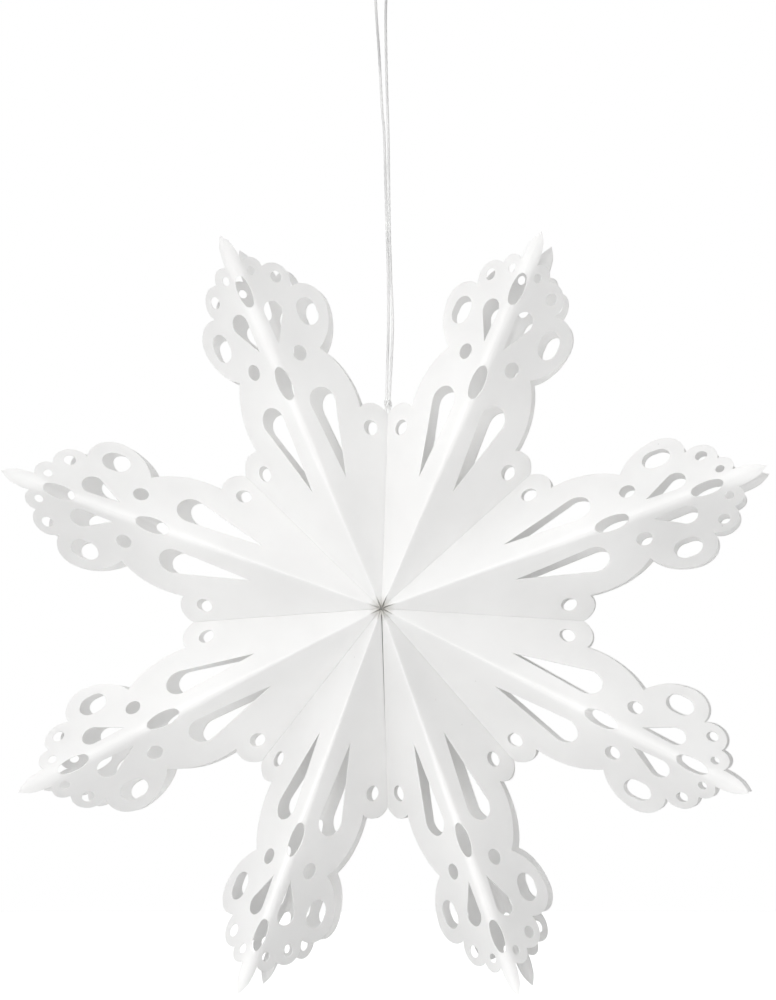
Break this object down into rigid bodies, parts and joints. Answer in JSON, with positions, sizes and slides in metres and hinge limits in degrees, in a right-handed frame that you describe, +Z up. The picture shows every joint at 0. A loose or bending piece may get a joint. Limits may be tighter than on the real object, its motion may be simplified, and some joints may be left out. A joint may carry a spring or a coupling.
{
  "type": "paper snowflake star",
  "caption": "Hanging folded paper star: pointed arms of pleated, cut-out paper panels fan out around a hub and hang from a twisted cord.",
  "frame": {"origin": "the middle of the hub, on the axis on which every fold line starts, in the star's mid-plane", "axes": "+Z up along the cord and the top valley, -Y out of the star's front, +X to the right seen from the front"},
  "size_m": [0.4562, 0.1164, 0.6361],
  "materials": {
    "paper": "matte white paper with a faint fibre grain",
    "closure": "dark adhesive strip",
    "cord": "white twisted satin cord"
  },
  "bodies": {
    "cord": {"cord_loop": "cord"},
    "top_seam": {"web_1": "paper", "cord_knot": "cord"},
    "right_seam_upper": {"web_2": "paper"},
    "right_seam_middle": {"web_3": "paper"},
    "right_seam_lower": {"web_4": "paper"},
    "left_seam_lower": {"web_6": "paper"},
    "left_seam_middle": {"web_7": "paper"},
    "left_seam_upper": {"web_8": "paper"},
    "right_end": {"web_5_right": "paper", "closure_strip": "closure"},
    "left_end": {"web_5_left": "paper"},
    "arm_1_front_left_panel": {"arm_1_front_left_panel": "paper"},
    "arm_1_front_right_panel": {"arm_1_front_right_panel": "paper"},
    "arm_1_back_left_panel": {"arm_1_back_left_panel": "paper"},
    "arm_1_back_right_panel": {"arm_1_back_right_panel": "paper"},
    "arm_2_front_left_panel": {"arm_2_front_left_panel": "paper"},
    "arm_2_front_right_panel": {"arm_2_front_right_panel": "paper"},
    "arm_2_back_left_panel": {"arm_2_back_left_panel": "paper"},
    "arm_2_back_right_panel": {"arm_2_back_right_panel": "paper"},
    "arm_3_front_left_panel": {"arm_3_front_left_panel": "paper"},
    "arm_3_front_right_panel": {"arm_3_front_right_panel": "paper"},
    "arm_3_back_left_panel": {"arm_3_back_left_panel": "paper"},
    "arm_3_back_right_panel": {"arm_3_back_right_panel": "paper"},
    "arm_4_front_left_panel": {"arm_4_front_left_panel": "paper"},
    "arm_4_front_right_panel": {"arm_4_front_right_panel": "paper"},
    "arm_4_back_left_panel": {"arm_4_back_left_panel": "paper"},
    "arm_4_back_right_panel": {"arm_4_back_right_panel": "paper"},
    "arm_5_front_left_panel": {"arm_5_front_left_panel": "paper"},
    "arm_5_front_right_panel": {"arm_5_front_right_panel": "paper"},
    "arm_5_back_left_panel": {"arm_5_back_left_panel": "paper"},
    "arm_5_back_right_panel": {"arm_5_back_right_panel": "paper"},
    "arm_6_front_left_panel": {"arm_6_front_left_panel": "paper"},
    "arm_6_front_right_panel": {"arm_6_front_right_panel": "paper"},
    "arm_6_back_left_panel": {"arm_6_back_left_panel": "paper"},
    "arm_6_back_right_panel": {"arm_6_back_right_panel": "paper"},
    "arm_7_front_left_panel": {"arm_7_front_left_panel": "paper"},
    "arm_7_front_right_panel": {"arm_7_front_right_panel": "paper"},
    "arm_7_back_left_panel": {"arm_7_back_left_panel": "paper"},
    "arm_7_back_right_panel": {"arm_7_back_right_panel": "paper"},
    "arm_8_front_left_panel": {"arm_8_front_left_panel": "paper"},
    "arm_8_front_right_panel": {"arm_8_front_right_panel": "paper"},
    "arm_8_back_left_panel": {"arm_8_back_left_panel": "paper"},
    "arm_8_back_right_panel": {"arm_8_back_right_panel": "paper"}
  },
  "joints": [
    {"name": "cord_twist", "type": "hinge", "parent": "cord", "child": "top_seam", "pos_m": [0, 0, 0.125], "axis": [0, 0, 1], "continuous": true},
    {"name": "fan_fold", "type": "hinge", "parent": "top_seam", "child": "right_seam_upper", "pos_m": [0, 0, 0], "axis": [0, -1, 0], "range_deg": [0, 14]},
    {"name": "right_seam_middle_fold", "type": "hinge", "parent": "top_seam", "child": "right_seam_middle", "pos_m": [0, 0, 0], "axis": [0, -1, 0], "range_deg": [0, 28]},
    {"name": "right_seam_lower_fold", "type": "hinge", "parent": "top_seam", "child": "right_seam_lower", "pos_m": [0, 0, 0], "axis": [0, -1, 0], "range_deg": [0, 42]},
    {"name": "right_end_fold", "type": "hinge", "parent": "top_seam", "child": "right_end", "pos_m": [0, 0, 0], "axis": [0, -1, 0], "range_deg": [0, 56]},
    {"name": "left_seam_upper_fold", "type": "hinge", "parent": "top_seam", "child": "left_seam_upper", "pos_m": [0, 0, 0], "axis": [0, 1, 0], "range_deg": [0, 14]},
    {"name": "left_seam_middle_fold", "type": "hinge", "parent": "top_seam", "child": "left_seam_middle", "pos_m": [0, 0, 0], "axis": [0, 1, 0], "range_deg": [0, 28]},
    {"name": "left_seam_lower_fold", "type": "hinge", "parent": "top_seam", "child": "left_seam_lower", "pos_m": [0, 0, 0], "axis": [0, 1, 0], "range_deg": [0, 42]},
    {"name": "left_end_fold", "type": "hinge", "parent": "top_seam", "child": "left_end", "pos_m": [0, 0, 0], "axis": [0, 1, 0], "range_deg": [0, 56]},
    {"name": "arm_1_front_left_panel_tilt", "type": "hinge", "parent": "top_seam", "child": "arm_1_front_left_panel", "pos_m": [0, -0.036, 0], "axis": [0, -0.2885, -0.9575], "range_deg": [0, 19.02]},
    {"name": "arm_1_front_right_panel_tilt", "type": "hinge", "parent": "right_seam_upper", "child": "arm_1_front_right_panel", "pos_m": [0, -0.036, 0], "axis": [0.6965, 0.2885, 0.6571], "range_deg": [0, 19.02]},
    {"name": "arm_1_back_left_panel_tilt", "type": "hinge", "parent": "top_seam", "child": "arm_1_back_left_panel", "pos_m": [0, 0.036, 0], "axis": [0, -0.2885, 0.9575], "range_deg": [0, 19.02]},
    {"name": "arm_1_back_right_panel_tilt", "type": "hinge", "parent": "right_seam_upper", "child": "arm_1_back_right_panel", "pos_m": [0, 0.036, 0], "axis": [-0.6965, 0.2885, -0.6571], "range_deg": [0, 19.02]},
    {"name": "arm_2_front_left_panel_tilt", "type": "hinge", "parent": "right_seam_upper", "child": "arm_2_front_left_panel", "pos_m": [0, -0.036, 0], "axis": [-0.6965, -0.2885, -0.6571], "range_deg": [0, 19.02]},
    {"name": "arm_2_front_right_panel_tilt", "type": "hinge", "parent": "right_seam_middle", "child": "arm_2_front_right_panel", "pos_m": [0, -0.036, 0], "axis": [0.9559, 0.2885, -0.0557], "range_deg": [0, 19.02]},
    {"name": "arm_2_back_left_panel_tilt", "type": "hinge", "parent": "right_seam_upper", "child": "arm_2_back_left_panel", "pos_m": [0, 0.036, 0], "axis": [0.6965, -0.2885, 0.6571], "range_deg": [0, 19.02]},
    {"name": "arm_2_back_right_panel_tilt", "type": "hinge", "parent": "right_seam_middle", "child": "arm_2_back_right_panel", "pos_m": [0, 0.036, 0], "axis": [-0.9559, 0.2885, 0.0557], "range_deg": [0, 19.02]},
    {"name": "arm_3_front_left_panel_tilt", "type": "hinge", "parent": "right_seam_middle", "child": "arm_3_front_left_panel", "pos_m": [0, -0.036, 0], "axis": [-0.9559, -0.2885, 0.0557], "range_deg": [0, 19.02]},
    {"name": "arm_3_front_right_panel_tilt", "type": "hinge", "parent": "right_seam_lower", "child": "arm_3_front_right_panel", "pos_m": [0, -0.036, 0], "axis": [0.6155, 0.2885, -0.7335], "range_deg": [0, 19.02]},
    {"name": "arm_3_back_left_panel_tilt", "type": "hinge", "parent": "right_seam_middle", "child": "arm_3_back_left_panel", "pos_m": [0, 0.036, 0], "axis": [0.9559, -0.2885, -0.0557], "range_deg": [0, 19.02]},
    {"name": "arm_3_back_right_panel_tilt", "type": "hinge", "parent": "right_seam_lower", "child": "arm_3_back_right_panel", "pos_m": [0, 0.036, 0], "axis": [-0.6155, 0.2885, 0.7335], "range_deg": [0, 19.02]},
    {"name": "arm_4_front_left_panel_tilt", "type": "hinge", "parent": "right_seam_lower", "child": "arm_4_front_left_panel", "pos_m": [0, -0.036, 0], "axis": [-0.6155, -0.2885, 0.7335], "range_deg": [0, 17.06]},
    {"name": "arm_4_front_right_panel_tilt", "type": "hinge", "parent": "right_end", "child": "arm_4_front_right_panel", "pos_m": [0, -0.036, 0], "axis": [0, 0.2885, -0.9575], "range_deg": [0, 17.06]},
    {"name": "arm_4_back_left_panel_tilt", "type": "hinge", "parent": "right_seam_lower", "child": "arm_4_back_left_panel", "pos_m": [0, 0.036, 0], "axis": [0.6155, -0.2885, -0.7335], "range_deg": [0, 17.06]},
    {"name": "arm_4_back_right_panel_tilt", "type": "hinge", "parent": "right_end", "child": "arm_4_back_right_panel", "pos_m": [0, 0.036, 0], "axis": [0, 0.2885, 0.9575], "range_deg": [0, 17.06]},
    {"name": "arm_5_front_left_panel_tilt", "type": "hinge", "parent": "left_end", "child": "arm_5_front_left_panel", "pos_m": [0, -0.036, 0], "axis": [0, -0.2885, 0.9575], "range_deg": [0, 17.06]},
    {"name": "arm_5_front_right_panel_tilt", "type": "hinge", "parent": "left_seam_lower", "child": "arm_5_front_right_panel", "pos_m": [0, -0.036, 0], "axis": [-0.6155, 0.2885, -0.7335], "range_deg": [0, 17.06]},
    {"name": "arm_5_back_left_panel_tilt", "type": "hinge", "parent": "left_end", "child": "arm_5_back_left_panel", "pos_m": [0, 0.036, 0], "axis": [0, -0.2885, -0.9575], "range_deg": [0, 17.06]},
    {"name": "arm_5_back_right_panel_tilt", "type": "hinge", "parent": "left_seam_lower", "child": "arm_5_back_right_panel", "pos_m": [0, 0.036, 0], "axis": [0.6155, 0.2885, 0.7335], "range_deg": [0, 17.06]},
    {"name": "arm_6_front_left_panel_tilt", "type": "hinge", "parent": "left_seam_lower", "child": "arm_6_front_left_panel", "pos_m": [0, -0.036, 0], "axis": [0.6155, -0.2885, 0.7335], "range_deg": [0, 19.02]},
    {"name": "arm_6_front_right_panel_tilt", "type": "hinge", "parent": "left_seam_middle", "child": "arm_6_front_right_panel", "pos_m": [0, -0.036, 0], "axis": [-0.9559, 0.2885, -0.0557], "range_deg": [0, 19.02]},
    {"name": "arm_6_back_left_panel_tilt", "type": "hinge", "parent": "left_seam_lower", "child": "arm_6_back_left_panel", "pos_m": [0, 0.036, 0], "axis": [-0.6155, -0.2885, -0.7335], "range_deg": [0, 19.02]},
    {"name": "arm_6_back_right_panel_tilt", "type": "hinge", "parent": "left_seam_middle", "child": "arm_6_back_right_panel", "pos_m": [0, 0.036, 0], "axis": [0.9559, 0.2885, 0.0557], "range_deg": [0, 19.02]},
    {"name": "arm_7_front_left_panel_tilt", "type": "hinge", "parent": "left_seam_middle", "child": "arm_7_front_left_panel", "pos_m": [0, -0.036, 0], "axis": [0.9559, -0.2885, 0.0557], "range_deg": [0, 19.02]},
    {"name": "arm_7_front_right_panel_tilt", "type": "hinge", "parent": "left_seam_upper", "child": "arm_7_front_right_panel", "pos_m": [0, -0.036, 0], "axis": [-0.6965, 0.2885, 0.6571], "range_deg": [0, 19.02]},
    {"name": "arm_7_back_left_panel_tilt", "type": "hinge", "parent": "left_seam_middle", "child": "arm_7_back_left_panel", "pos_m": [0, 0.036, 0], "axis": [-0.9559, -0.2885, -0.0557], "range_deg": [0, 19.02]},
    {"name": "arm_7_back_right_panel_tilt", "type": "hinge", "parent": "left_seam_upper", "child": "arm_7_back_right_panel", "pos_m": [0, 0.036, 0], "axis": [0.6965, 0.2885, -0.6571], "range_deg": [0, 19.02]},
    {"name": "arm_8_front_left_panel_tilt", "type": "hinge", "parent": "left_seam_upper", "child": "arm_8_front_left_panel", "pos_m": [0, -0.036, 0], "axis": [0.6965, -0.2885, -0.6571], "range_deg": [0, 19.02]},
    {"name": "arm_8_front_right_panel_tilt", "type": "hinge", "parent": "top_seam", "child": "arm_8_front_right_panel", "pos_m": [0, -0.036, 0], "axis": [0, 0.2885, 0.9575], "range_deg": [0, 19.02]},
    {"name": "arm_8_back_left_panel_tilt", "type": "hinge", "parent": "left_seam_upper", "child": "arm_8_back_left_panel", "pos_m": [0, 0.036, 0], "axis": [-0.6965, -0.2885, 0.6571], "range_deg": [0, 19.02]},
    {"name": "arm_8_back_right_panel_tilt", "type": "hinge", "parent": "top_seam", "child": "arm_8_back_right_panel", "pos_m": [0, 0.036, 0], "axis": [0, 0.2885, -0.9575], "range_deg": [0, 19.02]}
  ],
  "couplings": [
    {"joint": "right_seam_middle_fold", "follows": "fan_fold", "ratio": 2},
    {"joint": "right_seam_lower_fold", "follows": "fan_fold", "ratio": 3},
    {"joint": "right_end_fold", "follows": "fan_fold", "ratio": 4},
    {"joint": "left_seam_upper_fold", "follows": "fan_fold", "ratio": 1},
    {"joint": "left_seam_middle_fold", "follows": "fan_fold", "ratio": 2},
    {"joint": "left_seam_lower_fold", "follows": "fan_fold", "ratio": 3},
    {"joint": "left_end_fold", "follows": "fan_fold", "ratio": 4},
    {"joint": "arm_1_front_left_panel_tilt", "follows": "fan_fold", "ratio": 1.3582},
    {"joint": "arm_1_front_right_panel_tilt", "follows": "fan_fold", "ratio": 1.3582},
    {"joint": "arm_1_back_left_panel_tilt", "follows": "fan_fold", "ratio": 1.3582},
    {"joint": "arm_1_back_right_panel_tilt", "follows": "fan_fold", "ratio": 1.3582},
    {"joint": "arm_2_front_left_panel_tilt", "follows": "fan_fold", "ratio": 1.3582},
    {"joint": "arm_2_front_right_panel_tilt", "follows": "fan_fold", "ratio": 1.3582},
    {"joint": "arm_2_back_left_panel_tilt", "follows": "fan_fold", "ratio": 1.3582},
    {"joint": "arm_2_back_right_panel_tilt", "follows": "fan_fold", "ratio": 1.3582},
    {"joint": "arm_3_front_left_panel_tilt", "follows": "fan_fold", "ratio": 1.3582},
    {"joint": "arm_3_front_right_panel_tilt", "follows": "fan_fold", "ratio": 1.3582},
    {"joint": "arm_3_back_left_panel_tilt", "follows": "fan_fold", "ratio": 1.3582},
    {"joint": "arm_3_back_right_panel_tilt", "follows": "fan_fold", "ratio": 1.3582},
    {"joint": "arm_4_front_left_panel_tilt", "follows": "fan_fold", "ratio": 1.2181},
    {"joint": "arm_4_front_right_panel_tilt", "follows": "fan_fold", "ratio": 1.2181},
    {"joint": "arm_4_back_left_panel_tilt", "follows": "fan_fold", "ratio": 1.2181},
    {"joint": "arm_4_back_right_panel_tilt", "follows": "fan_fold", "ratio": 1.2181},
    {"joint": "arm_5_front_left_panel_tilt", "follows": "fan_fold", "ratio": 1.2181},
    {"joint": "arm_5_front_right_panel_tilt", "follows": "fan_fold", "ratio": 1.2181},
    {"joint": "arm_5_back_left_panel_tilt", "follows": "fan_fold", "ratio": 1.2181},
    {"joint": "arm_5_back_right_panel_tilt", "follows": "fan_fold", "ratio": 1.2181},
    {"joint": "arm_6_front_left_panel_tilt", "follows": "fan_fold", "ratio": 1.3582},
    {"joint": "arm_6_front_right_panel_tilt", "follows": "fan_fold", "ratio": 1.3582},
    {"joint": "arm_6_back_left_panel_tilt", "follows": "fan_fold", "ratio": 1.3582},
    {"joint": "arm_6_back_right_panel_tilt", "follows": "fan_fold", "ratio": 1.3582},
    {"joint": "arm_7_front_left_panel_tilt", "follows": "fan_fold", "ratio": 1.3582},
    {"joint": "arm_7_front_right_panel_tilt", "follows": "fan_fold", "ratio": 1.3582},
    {"joint": "arm_7_back_left_panel_tilt", "follows": "fan_fold", "ratio": 1.3582},
    {"joint": "arm_7_back_right_panel_tilt", "follows": "fan_fold", "ratio": 1.3582},
    {"joint": "arm_8_front_left_panel_tilt", "follows": "fan_fold", "ratio": 1.3582},
    {"joint": "arm_8_front_right_panel_tilt", "follows": "fan_fold", "ratio": 1.3582},
    {"joint": "arm_8_back_left_panel_tilt", "follows": "fan_fold", "ratio": 1.3582},
    {"joint": "arm_8_back_right_panel_tilt", "follows": "fan_fold", "ratio": 1.3582}
  ]
}
